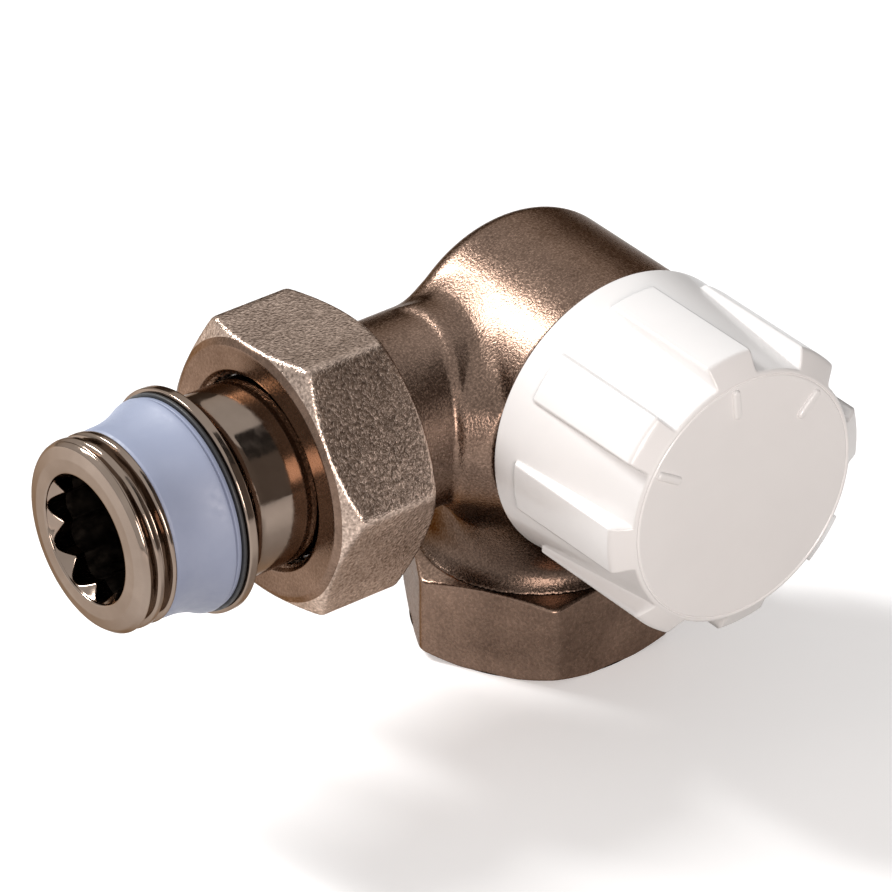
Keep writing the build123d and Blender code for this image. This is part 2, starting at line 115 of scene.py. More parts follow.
def outward(points, groups):
    """Turns all faces over if the signed volume, the sum of p0 . (p1 x p2) over fans, is negative."""
    total = 0.0
    for g in groups:
        for k in range(1, g.shape[1] - 1):
            a, b, c = points[g[:, 0]], points[g[:, k]], points[g[:, k + 1]]
            total += np.einsum("ij,ij->i", a, np.cross(b, c)).sum()
    return [g[:, ::-1] for g in groups] if total < 0 else groups


def ring_faces(rows, cols, closed):
    """Quads between neighbouring path rows; the angle always closes, the path only when it is a loop."""
    i = np.arange(rows if closed else rows - 1)[:, None]
    j = np.arange(cols)[None, :]
    i2, j2 = (i + 1) % rows, (j + 1) % cols
    corners = (i * cols + j, i * cols + j2, i2 * cols + j2, i2 * cols + j)
    return np.stack(np.broadcast_arrays(*corners), -1).reshape(-1, 4)


def swept_ring(name, axis, radius, along, angle, body, poles=False):
    """Path rows by angles. A loop path closes on itself; with poles, both ends close on the axis."""
    grid = place(axis, radius, along, angle)
    rows, cols = grid.shape[:2]
    points = grid.reshape(-1, 3)
    groups = [ring_faces(rows, cols, not poles)]
    if poles:
        first, last = len(points), len(points) + 1
        points = np.vstack([points, grid[0].mean(0), grid[-1].mean(0)])
        here = np.arange(cols)
        ahead = (here + 1) % cols
        base = (rows - 1) * cols
        groups.append(np.stack([np.full(cols, first), ahead, here], -1))
        groups.append(np.stack([np.full(cols, last), base + here, base + ahead], -1))
    return mesh_object(name, points, outward(points, groups), body)


print("quads of a small ring", len(ring_faces(3, 8, True)))

# %% [markdown]
# ## Rounded profiles
#
# No real edge is a knife edge, and the small rounds are what catch the light. A bevel modifier could add
# them, but here the corners of a profile are rounded before it is turned, so each edge gets its own radius.


# %% Profiles
def corner_arc(before, here, after, want, steps):
    """Arc tangent to both sides of a corner, starting at want / tan(half the corner angle) from it."""
    u, v = before - here, after - here
    lu, lv = np.linalg.norm(u), np.linalg.norm(v)
    u, v = u / lu, v / lv
    half = math.acos(max(-1.0, min(1.0, float(u @ v)))) / 2
    nearly_straight = 1.55
    if want <= 0 or half > nearly_straight:
        return here[None, :]
    reach = min(want / math.tan(half), 0.48 * lu, 0.48 * lv)
    middle = (u + v) / np.linalg.norm(u + v)
    centre = here + middle * reach * math.tan(half) / math.sin(half)
    sweep = math.pi - 2 * half
    share = column(np.linspace(0, 1, steps))
    a, b = here + u * reach - centre, here + v * reach - centre
    return centre + (np.sin((1 - share) * sweep) * a + np.sin(share * sweep) * b) / math.sin(sweep)


def rounded(corners, steps=5, step=0.6, loop=True):
    """Columns of radius and distance through corners (radius, along, round), in short steps."""
    pts = np.array([c[:2] for c in corners], float)
    count = len(pts)
    arcs = []
    for k, (*_, want) in enumerate(corners):
        at_end = not loop and k in (0, count - 1)
        arcs.append(corner_arc(pts[k - 1], pts[k], pts[(k + 1) % count], 0 if at_end else want, steps))
    path = np.vstack(arcs)
    ends = np.roll(path, -1, 0)
    if not loop:
        path, ends = path[:-1], ends[:-1]
    runs = []
    for a, b in zip(path, ends):
        n = max(1, int(np.linalg.norm(b - a) / step))
        runs.append(a + (b - a) * column(np.arange(n) / n))
    if not loop:
        runs.append(ends[-1:])
    dense = np.vstack(runs)
    return dense[:, :1], dense[:, 1:]


def eased(low, high, count):
    """A column of steps from low to high that lie closer together near both ends."""
    return low + (high - low) * column(0.5 - 0.5 * np.cos(np.linspace(0, np.pi, count)))


print("steps of a rounded square", len(rounded([(1, 0, 0.2), (2, 0, 0.2), (2, 1, 0.2), (1, 1, 0.2)])[0]))

# %% [markdown]
# ## Soft blends
#
# Forged and moulded shapes flow into each other. Three small formulas do most of that here: a step with
# soft ends, a minimum with a rounded corner, and a union of two distances with a fillet of a set radius.


# %% Blends
def smooth(x):
    """Smoothstep: 0 below 0, 1 above 1, and 3x^2 - 2x^3 between."""
    x = np.clip(x, 0, 1)
    return x * x * (3 - 2 * x)


def soft_min(a, b, k):
    """The smaller of two values, with a blend of width k where they cross."""
    h = np.clip(0.5 + 0.5 * (b - a) / k, 0, 1)
    return b + (a - b) * h - k * h * (1 - h)


def rounded_union(a, b, radius):
    """Union of two distances with a rolling-ball fillet: max(radius, min(a, b)) less what is under it."""
    under = np.hypot(np.maximum(radius - a, 0), np.maximum(radius - b, 0))
    return np.maximum(radius, np.minimum(a, b)) - under


def between(value, low, high):
    """Distance-like value of a slab: negative where the value lies between low and high."""
    return np.maximum(low - value, value - high)


print("soft minimum of 1 and 1, blend 0.4:", soft_min(1.0, 1.0, 0.4))

# %% [markdown]
# ## The forged body
#
# The barrel, the inlet leg and the outlet neck are one forging. Where leg and barrel meet, the die leaves a
# wide soft valley. Beside the neck there are a bevelled cheek and a fine step.
# A boolean union of three solids would leave hard creases instead. Here each form is a distance function,
# and the blends above join them. The waterways inside are cut out of the same function.

# %% Forging sizes
BARREL_R, DOME_START, DOME_H, BARREL_FRONT = 15.45, 4.2, 5.9, 13.25
NECK_R, NECK_CUT = 10.6, 24.9
LEG_R, LEG_TOP, HEX_TOP = 11.8, AXIS_H - 4.0, 9.2
FOOT_FLARE, FOOT_H = 1.3, 3.2
LEG_VALLEY, REAR_VALLEY = 6.0, 1.8
CHEEK, TOP_CHEEK = 3.1, 0.8
STEP_R, STEP_WIDTH, STEP_H = 19.0, 0.8, 0.5
INLET_R, INLET_DEPTH, INLET_CONE = 10.5375, 12.3, 1.9
REAR_ROOM_R, FRONT_ROOM_R, BONNET_R, SEAT_R, OUTLET_R = 8.5, 9.6, 11.0, 5.0, 6.5
ROOM_END = -9.5
print("barrel", 2 * BARREL_R, "neck", 2 * NECK_R, "leg", 2 * LEG_R, "mm across")


# %% Waterways
def waterways(x, y, z, height, r):
    """Smallest of the cavities' distances: inlet, riser, rear and front rooms, seat, bonnet bore, outlet."""
    narrowing = np.clip(INLET_R - 2.4 * (height - INLET_DEPTH), 0, INLET_R)
    inlet = np.maximum(np.hypot(x, y) - narrowing, height - INLET_DEPTH - INLET_CONE)
    slot = np.hypot(np.maximum(np.abs(x) - 3, 0), y - 3.6) - 3
    riser = np.maximum(slot, between(height, 8, AXIS_H - 4))
    rear_room = np.maximum(r - REAR_ROOM_R, between(y, 0.3, 5.7))
    front_room = np.maximum(r - FRONT_ROOM_R, between(y, ROOM_END, -1.7))
    bonnet_bore = np.maximum(r - BONNET_R, y - ROOM_END)
    seat = np.maximum(r - SEAT_R, between(y, -1.8, 0.4))
    outlet_bore = np.maximum(np.hypot(y, z) - OUTLET_R, x + 12.0)
    window = np.maximum(between(y, -9.1, -2.5), np.abs(z) - OUTLET_R)
    window = np.maximum(window, between(x, -12.7, -7.5))
    cuts = (inlet, riser, rear_room, front_room, bonnet_bore, seat, outlet_bore, window)
    return np.minimum.reduce(np.broadcast_arrays(*cuts))


# %% Outside of the forging
def forging(p):
    """Distance-like value: barrel and leg in a filleted union, bevel and neck added, waterways cut out."""
    x, y, height = p[..., 0], p[..., 1], p[..., 2]
    z = height - AXIS_H
    r = np.hypot(x, z)
    bulge = np.maximum(y - DOME_START, 0)
    k = np.sqrt((r / BARREL_R) ** 2 + (bulge / DOME_H) ** 2)
    slope = np.sqrt((r / BARREL_R**2) ** 2 + (bulge / DOME_H**2) ** 2) + 1e-9
    barrel = np.where(y > DOME_START, k * (k - 1) / slope, r - BARREL_R)
    barrel = np.maximum(barrel, -BARREL_FRONT - y)
    flare = FOOT_FLARE * (1 - np.clip((height - HEX_TOP) / FOOT_H, 0, 1)) ** 2.5
    leg = np.sqrt(x**2 + y**2 + np.maximum(height - LEG_TOP, 0) ** 2) - LEG_R - flare
    valley = REAR_VALLEY + (LEG_VALLEY - REAR_VALLEY) * smooth((3.0 - y) / 8.0)
    main = rounded_union(barrel, leg, valley)
    neck = np.sqrt(np.maximum(x, 0) ** 2 + y**2 + z**2) - NECK_R
    neck = neck - STEP_H * smooth((STEP_R - r) / STEP_WIDTH) * smooth((5.0 - y) / 3.0)
    cheek = TOP_CHEEK + (CHEEK - TOP_CHEEK) * smooth((2.0 - y) / 4.0) * smooth((9.5 - z) / 5.0)
    bevel = (main + neck - cheek) / math.sqrt(2)
    body = soft_min(soft_min(main, bevel, 0.9), neck, 0.5)
    body = -soft_min(-body, y + BARREL_FRONT, 0.5)
    body = np.maximum(body, np.maximum(-NECK_CUT - x, HEX_TOP - 0.3 - height))
    return np.maximum(body, -waterways(x, y, z, height, r))


print("value at the middle of the barrel wall", forging(np.array([0.0, 0.0, AXIS_H + 13.0])))

# %% [markdown]
# ## Reading the surface off a grid
#
# The surface lies where the function is zero. Blender's own metaballs or a voxel remesh could find it, but
# the method known as surface nets is a few array operations on the corner signs, and it always gives a
# closed mesh. Every cell that the surface crosses gets a point, and every grid edge that it crosses gets a
# quad. A few Newton steps then move the points exactly onto the surface.


# %% Surface nets
def crossed_cells(f, inside, shape):
    """Sum of the edge crossings in each cell, in cell steps, and how many of its edges are crossed."""
    total, hits = np.zeros(shape + (3,)), np.zeros(shape)
    corners = [(a, b, c) for a in (0, 1) for b in (0, 1) for c in (0, 1)]

    def at(array, o):
        return array[o[0] : o[0] + shape[0], o[1] : o[1] + shape[1], o[2] : o[2] + shape[2]]

    for axis in range(3):
        for o in [c for c in corners if c[axis] == 0]:
            e = tuple(v + (k == axis) for k, v in enumerate(o))
            cross = at(inside, o) != at(inside, e)
            share = np.where(cross, at(f, o) / np.where(cross, at(f, o) - at(f, e), 1), 0)
            spot = np.array(o, float) + share[..., None] * np.eye(3)[axis]
            total += np.where(cross[..., None], spot, 0)
            hits += cross
    return total, hits


def surface_net(value, low, step, counts):
    """Closed mesh of value = 0: a point per crossed cell, at the mean crossing; a quad per crossed edge."""
    axes = [low[k] + step * np.arange(counts[k]) for k in range(3)]
    f = value(np.stack(np.meshgrid(*axes, indexing="ij"), -1))
    inside = f < 0
    shape = tuple(n - 1 for n in counts)
    total, hits = crossed_cells(f, inside, shape)
    used = hits > 0
    index = np.full(shape, -1)
    index[used] = np.arange(used.sum())
    points = np.array(low) + step * (np.argwhere(used) + total[used] / hits[used][:, None])
    quads = []
    for axis in range(3):
        b, c = (axis + 1) % 3, (axis + 2) % 3
        start = tuple(slice(0, -1) if k == axis else slice(1, -1) for k in range(3))
        end = tuple(slice(1, None) if k == axis else slice(1, -1) for k in range(3))
        change = inside[start] != inside[end]
        lead = inside[start][change]
        spot = np.argwhere(change) + (np.arange(3) != axis)
        ring = []
        for db, dc in ((0, 0), (1, 0), (1, 1), (0, 1)):
            cell = spot.copy()
            cell[:, b] -= db
            cell[:, c] -= dc
            ring.append(index[tuple(cell.T)])
        ring = np.stack(ring, -1)
        quads.append(np.where(lead[:, None], ring, ring[:, ::-1]))
    return points, np.vstack(quads)


def settle(value, points, rounds=4, h=0.02, most=0.15):
    """Newton steps: each point moves by -value / |gradient| along the gradient, a little each time."""
    for _ in range(rounds):
        f = value(points)
        slopes = [(value(points + h * e) - value(points - h * e)) / (2 * h) for e in np.eye(3)]
        g = np.stack(slopes, -1)
        move = (f / np.maximum((g**2).sum(-1), 0.2))[:, None] * g
        length = np.linalg.norm(move, axis=1, keepdims=True)
        points = points - move * np.minimum(1, most / np.maximum(length, 1e-9))
    return points


# %% Body mesh
NET_STEP = 0.31
NET_LOW, NET_HIGH = np.array([-26.0, -14.2, 8.2]), np.array([16.1, 13.6, 46.6])
net_counts = tuple(int(n) + 1 for n in np.ceil((NET_HIGH - NET_LOW) / NET_STEP))
net_points, net_quads = surface_net(forging, NET_LOW, NET_STEP, net_counts)
net_points = settle(forging, net_points)
forged_body = mesh_object(
    "forged_body", net_points, outward(net_points, [net_quads]), "valve")
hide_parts("valve_body")

# %% [markdown]
# ## Threads
#
# A thread is a radius that rises and falls along the axis and is shifted by one pitch for each turn. Blender
# has a screw modifier, but a formula can be added to any turned profile. The flanks are straight and the
# crests and roots rounded, so the ridge is a clipped triangle wave passed through a smoothstep. It fades at
# both ends, as a cut thread runs out.


# %% Thread groove
PIPE_PITCH, PIPE_DEPTH = 1.814, 1.162
UNION_PITCH, UNION_DEPTH = 1.5, 0.82


def groove(along, angle, pitch, hand, start, end, runout):
    """Depth, 0 at the crest and 1 at the root: a smoothed triangle wave of along + hand * pitch * turns."""
    phase = (along + hand * pitch * angle / (2 * np.pi)) / pitch
    wave = 1 - np.abs(2 * (phase - np.floor(phase)) - 1)
    fade = smooth((along - start) / runout) * smooth((end - along) / runout)
    return (1 - smooth((wave - 0.12) / 0.60)) * fade


print("pipe thread", PIPE_PITCH, "mm pitch, union thread", UNION_PITCH, "mm")

# %% [markdown]
# ## The hexagon socket
#
# The inlet ends in a hexagon for a spanner, with both ends chamfered to a circle. A hexagon is the smallest
# of three pairs of flats; a high power norm of the six face directions gives it with a touch of rounding at
# the corners. The chamfer is a cone, and the soft minimum of the two gives the scalloped edge of a real
# spanner hexagon, which a plain six-sided cylinder with a bevel would miss.


# %% Hexagons
def hexagon(angle, flats, turned, sharp=50):
    """Radius of a hexagon: half the flats over the power norm of cos(angle - face) for the six faces."""
    faces = np.deg2rad(turned + 30 + 60 * np.arange(6))
    c = np.maximum(np.cos(angle[..., None] - faces), 0)
    return flats / 2 / (c**sharp).sum(-1) ** (1 / sharp)


def chamfered(angle, along, flats, turned, low_end, high_end, soft):
    """Soft minimum of the hexagon and a cone at each end (place, face radius, degrees of tilt)."""
    low, low_face, low_tilt = low_end
    high, high_face, high_tilt = high_end
    low_cone = low_face + (along - low) / math.tan(math.radians(low_tilt))
    high_cone = high_face + (high - along) / math.tan(math.radians(high_tilt))
    return soft_min(hexagon(angle, flats, turned), soft_min(low_cone, high_cone, soft), soft)


# %% Socket
MOUTH, HEX_AF, LEAD_IN = -1.2, 27.0, 1.2
FOOT_SEAT, FOOT_SEAT_R = 8.0, 12.2
turn = around(540)
side_z = eased(MOUTH, HEX_TOP, 46)
mouth_end = (MOUTH, HEX_AF / 2 + 0.35, 30)
top_end = (HEX_TOP, HEX_AF / 2 - 0.25, 20)
side_r = chamfered(turn, side_z, HEX_AF, 0.0, mouth_end, top_end, 0.22)
inner_r, inner_z = rounded(
    [(FOOT_SEAT_R, HEX_TOP, 0), (FOOT_SEAT_R, FOOT_SEAT, 0), (INLET_R, FOOT_SEAT, 0),
     (INLET_R, MOUTH + LEAD_IN, 0.2), (INLET_R + LEAD_IN, MOUTH, 0.2), (HEX_AF / 2 + 0.1, MOUTH, 0)],
    loop=False)
socket_r = np.vstack([side_r, wide(inner_r, turn)])
socket_z = np.vstack([wide(side_z, turn), wide(inner_z, turn)])
inlet_socket = swept_ring("inlet_socket", "inlet", socket_r, socket_z, turn, "valve")
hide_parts("valve_body")

# %% [markdown]
# ## The thread in the inlet
#
# The pipe screws into the socket, so its thread stands inwards from the bore. It is a thin sleeve of its
# own: the ridged side faces the axis, and a plain back wall just inside the bore closes it.

# %% Inlet thread
turn = around(180)
deep_z = column(np.linspace(0.1, INLET_DEPTH - 0.1, 110))
ridge = 1 - groove(deep_z, turn, PIPE_PITCH, -1, -9, 99, 1.0)
crest = ridge * smooth((INLET_DEPTH - deep_z) / 1.2) * smooth(deep_z / 0.9)
wall_z = deep_z[::-1][::10]
inlet_r = np.vstack([INLET_R - 0.04 - (PIPE_DEPTH - 0.05) * crest, wide(0 * wall_z + INLET_R - 0.01, turn)])
inlet_z = np.vstack([wide(deep_z, turn), wide(wall_z, turn)])
inlet_thread = swept_ring("inlet_thread", "inlet", inlet_r, inlet_z, turn, "valve")

# %% [markdown]
# ## The union neck and the head collar
#
# Behind the nut the neck carries the union thread and, inside its end, the cone that the tailpiece seats in.
# Under the handwheel the barrel carries a threaded collar. Both are profiles turned round their axis, with
# the groove taken off the radius where the profile is on the threaded length.

# %% Neck end
turn = around(240)
NECK_START, NECK_END, UNION_R = 24.4, 33.0, 12.0
r, t = rounded(
    [(NECK_R, NECK_START, 0), (NECK_R, 24.75, 0.1), (UNION_R, 26.0, 0.3), (UNION_R, 32.0, 0.2),
     (UNION_R - 1, NECK_END, 0.2), (9.3, NECK_END, 0.1), (OUTLET_R, 28.15, 0.2), (OUTLET_R, NECK_START, 0)],
    step=0.12)
threaded = (r > 10.9) & (t > 25.0)
union_groove = groove(t, turn, UNION_PITCH, 1, 25.4, 33.4, 0.8)
neck_r = np.where(threaded, r - UNION_DEPTH * union_groove, r)
union_thread = swept_ring("union_thread", "tail", neck_r, t, turn, "valve")
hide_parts("valve_body")

# %% Head collar
COLLAR_R, COLLAR_ROOT, COLLAR_START, COLLAR_END = 14.0, 13.0, 12.9, 21.05
r, t = rounded(
    [(COLLAR_ROOT, COLLAR_START, 0), (COLLAR_ROOT, 14.25, 0.1), (COLLAR_R, 15.25, 0.2),
     (COLLAR_R, COLLAR_END - 1, 0.2), (COLLAR_ROOT, COLLAR_END, 0.1), (BONNET_R, COLLAR_END, 0.1),
     (BONNET_R, COLLAR_START, 0)],
    step=0.12)
threaded = (r > COLLAR_ROOT - 0.1) & (t > 15.0)
collar_r = np.where(threaded, r - 0.8 * groove(t, turn, UNION_PITCH, 1, 14.8, 20.9, 0.6), r)
head_collar = swept_ring("head_collar", "wheel", collar_r, t, turn, "valve")
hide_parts("valve_body")

# %% [markdown]
# ## The union nut
#
# The nut is the same chamfered hexagon on the outlet axis, turned a few degrees as the spanner left it. Its
# front lip holds the tailpiece. The threaded bore follows the neck's own thread with a small gap all round,
# so the two stay in mesh as the nut turns and travels.

# %% Nut
NUT_REAR, NUT_FRONT, NUT_LIP, NUT_HOLE, NUT_AF, NUT_TURN = 24.3, 37.0, 35.0, 10.35, 29.0, -4.0
NUT_BORE, NUT_FACE_R, NUT_LAND = UNION_R + 0.06, NUT_AF / 2 - 0.7, 13.5
turn = around(540)
side_t = eased(NUT_REAR, NUT_FRONT, 52)
rear_end = (NUT_REAR, NUT_FACE_R, 30)
front_end = (NUT_FRONT, NUT_FACE_R, 30)
side_r = chamfered(turn, side_t, NUT_AF, NUT_TURN, rear_end, front_end, 0.55)
in_r, in_t = rounded(
    [(NUT_LAND, NUT_FRONT, 0), (NUT_HOLE + 0.75, NUT_FRONT, 0.25), (NUT_HOLE, NUT_FRONT - 0.75, 0.2),
     (NUT_HOLE, NUT_LIP, 0), (NUT_BORE, NUT_LIP, 0), (NUT_BORE, NUT_REAR + 0.7, 0),
     (NUT_BORE + 0.7, NUT_REAR, 0.1), (NUT_LAND, NUT_REAR, 0)],
    step=0.2, loop=False)
on_bore = (np.abs(in_r - NUT_BORE) < 0.02) & (in_t < NUT_LIP - 0.2) & (in_t > NUT_REAR + 0.9)
bore_groove = groove(in_t, turn, UNION_PITCH, 1, 25.4, 34.4, 0.8)
nut_r = np.vstack([side_r, np.where(on_bore, NUT_BORE - UNION_DEPTH * bore_groove, in_r)])
nut_t = np.vstack([wide(side_t, turn), wide(in_t, turn)])
hex_nut = swept_ring("hex_nut", "tail", nut_r, nut_t, turn, "nut")
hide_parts("union_nut")

# %% [markdown]
# ## The tailpiece
#
# The tailpiece is one long turned profile: cone nose, neck, collar, seal land, pipe thread and the chamfered
# end. Its bore widens into a star for the fitting key. The star is a radius that swings between the bore and
# the points with the angle, so the whole closed shape is still one loop of profile carried round the axis,
# and no boolean cut is needed.

# %% Tailpiece outside
TAIL_END, PIPE_R, SEAL_FRONT, SEAL_REAR = 58.5, 10.4775, 54.3, 47.0
FLANGE_R, FLANGE_FRONT, FLANGE_REAR = 12.295, 46.5, 45.4
TAIL_NECK, TAIL_BORE, TAIL_NOSE, SEAL_LAND = 10.05, 6.0, 28.95, 9.79
KEY_R, KEY_POINTS, KEY_DEPTH, KEY_TIP = 7.04, 10, 11.0, math.radians(-14.0)
turn = around(240)
r, t = rounded(
    [(TAIL_BORE, TAIL_NOSE, 0), (6.86, TAIL_NOSE, 0.1), (7.80, 30.5, 0.05), (6.95, 30.5, 0),
     (6.95, 31.7, 0), (8.45, 31.7, 0.05), (8.96, 32.6, 0), (8.96, 33.1, 0), (TAIL_NECK, 33.1, 0.1),
     (TAIL_NECK, 34.0, 0), (TAIL_NECK - 0.4, 34.0, 0), (TAIL_NECK - 0.4, 34.9, 0), (TAIL_NECK, 34.9, 0),
     (TAIL_NECK, 43.6, 2.5), (TAIL_NECK + 1.1, FLANGE_REAR - 0.1, 0.4), (FLANGE_R, FLANGE_REAR, 0.25),
     (FLANGE_R, FLANGE_FRONT, 0.2), (SEAL_LAND, FLANGE_FRONT, 0), (SEAL_LAND, SEAL_FRONT, 0),
     (PIPE_R, SEAL_FRONT + 0.12, 0), (PIPE_R, TAIL_END - 0.9, 0.4), (PIPE_R - 0.5, TAIL_END - 0.3, 0.5),
     (8.68, TAIL_END, 0.3), (KEY_R + 0.15, TAIL_END, 0.12)],
    step=0.13, loop=False)
threaded = (t > SEAL_FRONT + 0.1) & (r > 9.5)
pipe_groove = groove(t, turn, PIPE_PITCH, 1, SEAL_FRONT - 1.5, TAIL_END - 0.7, 0.8)
tail_r = np.where(threaded, r - PIPE_DEPTH * pipe_groove, r)
print("tailpiece outside", tail_r.shape, "grid")

# %% Key socket and bore
sector = 2 * np.pi / KEY_POINTS
off = np.abs((turn - KEY_TIP + sector / 2) % sector - sector / 2) / sector
star = TAIL_BORE + (KEY_R - TAIL_BORE) * soft_min(off / 0.36, 1.0, 0.25)
KEY_FLOOR = TAIL_END - KEY_DEPTH
key_t = column(np.concatenate([
    np.linspace(TAIL_END - 0.12, TAIL_END - 2.2, 22),
    np.linspace(TAIL_END - 2.6, KEY_FLOOR, 16),
    np.linspace(KEY_FLOOR - 0.5, TAIL_NOSE + 0.25, 24)]))
bore_r = TAIL_BORE + (star - TAIL_BORE) * smooth((key_t - (KEY_FLOOR - 0.3)) / 0.5)
lead_in = KEY_R + 0.05 - 0.8 * np.maximum(TAIL_END - 0.25 - key_t, 0)
bore_r = -soft_min(-bore_r, -lead_in, 0.15)
all_r = np.vstack([tail_r, bore_r])
all_t = np.vstack([wide(t, turn), wide(key_t, turn)])
union_tail = swept_ring("union_tail", "tail", all_r, all_t, turn, "tail")
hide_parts("tailpiece")

# %% [markdown]
# ## Seal and backing ring
#
# The pale blue seal is moulded rubber-like plastic: a thin lip against the backing ring, a fine groove, and
# a bell that curves down to a sleeve on the thread. A power curve gives the bell, steep at the rim and flat
# on the sleeve. The black ring behind it is a plain moulded washer.

# %% Seal
turn = around(240)
RIM, SLEEVE, SEAL_BORE = 11.7, 10.42, 9.86
BELL_REAR, BELL_FRONT = SEAL_REAR + 1.0, SEAL_FRONT - 1.2
drop = np.linspace(0.97, 0, 14)
bell_r = SLEEVE + (RIM - SLEEVE) * drop**2.2
bell_t = BELL_FRONT - (BELL_FRONT - BELL_REAR) * drop
bell = np.stack([bell_r, bell_t, 0 * drop], -1).tolist()
r, t = rounded(
    [(SEAL_BORE, SEAL_REAR + 0.02, 0), (11.5, SEAL_REAR + 0.02, 0.12), (11.55, SEAL_REAR + 0.5, 0.12),
     (11.05, SEAL_REAR + 0.66, 0.05), (RIM, SEAL_REAR + 0.82, 0.1), *bell,
     (SLEEVE - 0.05, SEAL_FRONT - 0.3, 0.15), (10.2, SEAL_FRONT - 0.02, 0.1),
     (SEAL_BORE, SEAL_FRONT - 0.02, 0)],
    step=0.25)
seal_sleeve = swept_ring("seal_sleeve", "tail", r, t, turn, "tail")
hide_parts("tailpiece_seal")

# %% Backing ring
WASHER_R, WASHER_REAR, WASHER_FRONT = 11.88, FLANGE_FRONT + 0.01, SEAL_REAR - 0.01
r, t = rounded(
    [(SEAL_BORE, WASHER_REAR, 0), (WASHER_R, WASHER_REAR, 0.2), (WASHER_R, WASHER_FRONT, 0.2),
     (SEAL_BORE, WASHER_FRONT, 0)],
    step=0.2)
black_washer = swept_ring("black_washer", "tail", r, t, turn, "tail")
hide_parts("seal_backing_ring")

# %% [markdown]
# ## The handwheel
#
# The wheel is a moulded white cap: a slightly tapered cone with eight broad grip ribs, a flat face with a
# fine groove round its edge, and a hollow behind. The radius of the outside is the cone plus the ribs. A rib
# is a smooth window in the angle times a height along the axis, so its sides get the draft and the soft
# edges of a moulding, and its front end slopes down to the face.

# %% Wheel cone and face
WHEEL_REAR, WHEEL_FACE, WHEEL_R, FACE_R = 13.55, 34.5, 16.35, 14.4
EDGE, FACE_GROOVE, GROOVE_WIDTH, GROOVE_DEPTH = 0.4, 13.86, 0.1, 0.15
turn = around(640)
face_r = column(np.concatenate([np.linspace(0.6, 13.3, 10), np.linspace(13.5, FACE_R - EDGE - 0.02, 14)]))
face_s = WHEEL_FACE - GROOVE_DEPTH * np.exp(-(((face_r - FACE_GROOVE) / GROOVE_WIDTH) ** 2))
front_edge = WHEEL_FACE - EDGE * (1 - np.cos(np.linspace(0.05, np.pi / 2, 9)))
rear_edge = WHEEL_REAR + EDGE * (1 - np.sin(np.linspace(0, np.pi / 2, 8)))
side_s = column(np.concatenate([
    front_edge, np.linspace(34.0, 31.6, 18), np.linspace(31.0, 17.7, 16), np.linspace(17.5, 16.7, 9),
    np.linspace(16.2, 14.6, 4), rear_edge]))
taper = (WHEEL_R - FACE_R) / (WHEEL_FACE - WHEEL_REAR)
front = np.clip((side_s - WHEEL_FACE + EDGE) / EDGE, 0, 1)
rear = np.clip((WHEEL_REAR + EDGE - side_s) / EDGE, 0, 1)
edge_round = EDGE * (2 - np.sqrt(1 - front**2) - np.sqrt(1 - rear**2))
cone = WHEEL_R - (side_s - WHEEL_REAR) * taper - edge_round
print("cone from", round(float(cone.min()), 2), "to", round(float(cone.max()), 2), "mm radius")

# %% Wheel ribs and hollow
RIB_R, RIBS, RIB_PHASE, HALF_RIB, RIB_DRAFT = 16.55, 8, 4.0, 10.25, 1.3
RIM_R, HOLLOW_R, CORE_R, PIN_BOSS_R, PIN_BORE_R = 14.9, 14.06, 11.6, 4.2, 2.56
front_slope = FACE_R - 0.1 + 1.7 * (WHEEL_FACE - 0.12 - side_s)
rear_slope = RIB_R - 0.9 + 1.8 * (side_s - WHEEL_REAR - 3.2)
rib_top = soft_min(soft_min(RIB_R, front_slope, 0.6), rear_slope, 0.3)
spread = 2 * np.pi / RIBS
from_rib = np.abs((turn - np.deg2rad(RIB_PHASE) + spread / 2) % spread - spread / 2)
window = smooth((np.deg2rad(HALF_RIB) - from_rib) / np.deg2rad(RIB_DRAFT) + 0.5)
side_r = cone + np.maximum(rib_top - cone, 0) * window
hollow_r, hollow_s = rounded(
    [(HOLLOW_R + 0.6, WHEEL_REAR, 0.1), (HOLLOW_R, WHEEL_REAR + 0.6, 0.1), (HOLLOW_R, 23.15, 0.2),
     (CORE_R, 25.55, 0.4), (CORE_R, 32.2, 0.5), (PIN_BOSS_R, 32.2, 0.4), (PIN_BOSS_R, 27.75, 0.2),
     (PIN_BORE_R, 27.75, 0.1), (PIN_BORE_R, 31.45, 0), (0.5, 31.45, 0)],
    step=2.0, loop=False)
wheel_r = np.vstack([wide(face_r, turn), side_r, wide([[RIM_R]], turn), wide(hollow_r, turn)])
wheel_s = wide(np.vstack([face_s, side_s, [[WHEEL_REAR]], hollow_s]), turn)
grip_wheel = swept_ring(
    "grip_wheel", "wheel", wheel_r, wheel_s, turn, "handwheel", poles=True)
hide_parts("handwheel")

# %% [markdown]
# ## Raised marks on the face
#
# Three short raised bars near the rim of the face show the wheel's position. Each is a rounded bar whose
# outline shrinks inwards over its edge radius while it rises, so it is a small cushion standing on the
# face. One formula makes all three: the bar's own shape, turned by three angles at once.

# %% Marks
MARK_ANGLES = np.deg2rad([44.0, 96.0, 148.5])[:, None, None]
MARK_INNER, MARK_OUTER, MARK_WIDTH, MARK_RISE, MARK_EDGE = 9.9, 13.5, 1.0, 0.38, 0.28
outline = around(48)
climb = np.linspace(0, np.pi / 2, 6)
lift = column(np.concatenate([[-0.15], MARK_RISE * np.sin(climb), [MARK_RISE]]))
shrink = column(np.concatenate([[0.0], MARK_EDGE * (1 - np.cos(climb)), [MARK_WIDTH / 2 - 0.02]]))
round_r = MARK_WIDTH / 2 - shrink
half_run = (MARK_OUTER - MARK_INNER - MARK_WIDTH) / 2
radial = (MARK_INNER + MARK_OUTER) / 2 + half_run * np.clip(4 * np.cos(outline), -1, 1)
radial = radial + round_r * np.cos(outline)
sideways = round_r * np.sin(outline)
mark_x = radial * np.cos(MARK_ANGLES) - sideways * np.sin(MARK_ANGLES)
